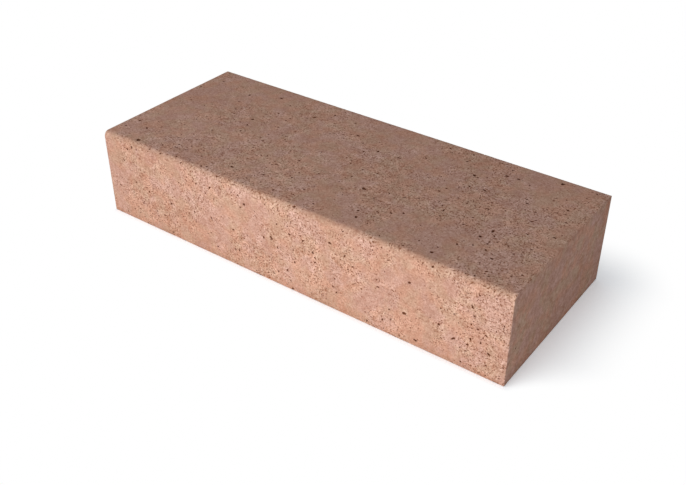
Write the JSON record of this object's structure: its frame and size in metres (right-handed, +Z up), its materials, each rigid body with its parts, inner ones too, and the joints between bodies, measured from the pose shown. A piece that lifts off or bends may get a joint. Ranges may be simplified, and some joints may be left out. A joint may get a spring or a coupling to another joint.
{
  "type": "concrete step block",
  "caption": "Solid cast concrete block used as one garden or entrance step, with a level tread and a rounded front nose.",
  "frame": {"origin": "middle of the underside, on the ground", "axes": "+X along the step's length, +Y from the rounded front nose to the back, +Z up"},
  "size_m": [1, 0.4, 0.2],
  "materials": {
    "cast_concrete": "matte"
  },
  "bodies": {
    "root": {"step_block": "cast_concrete"}
  },
  "joints": []
}
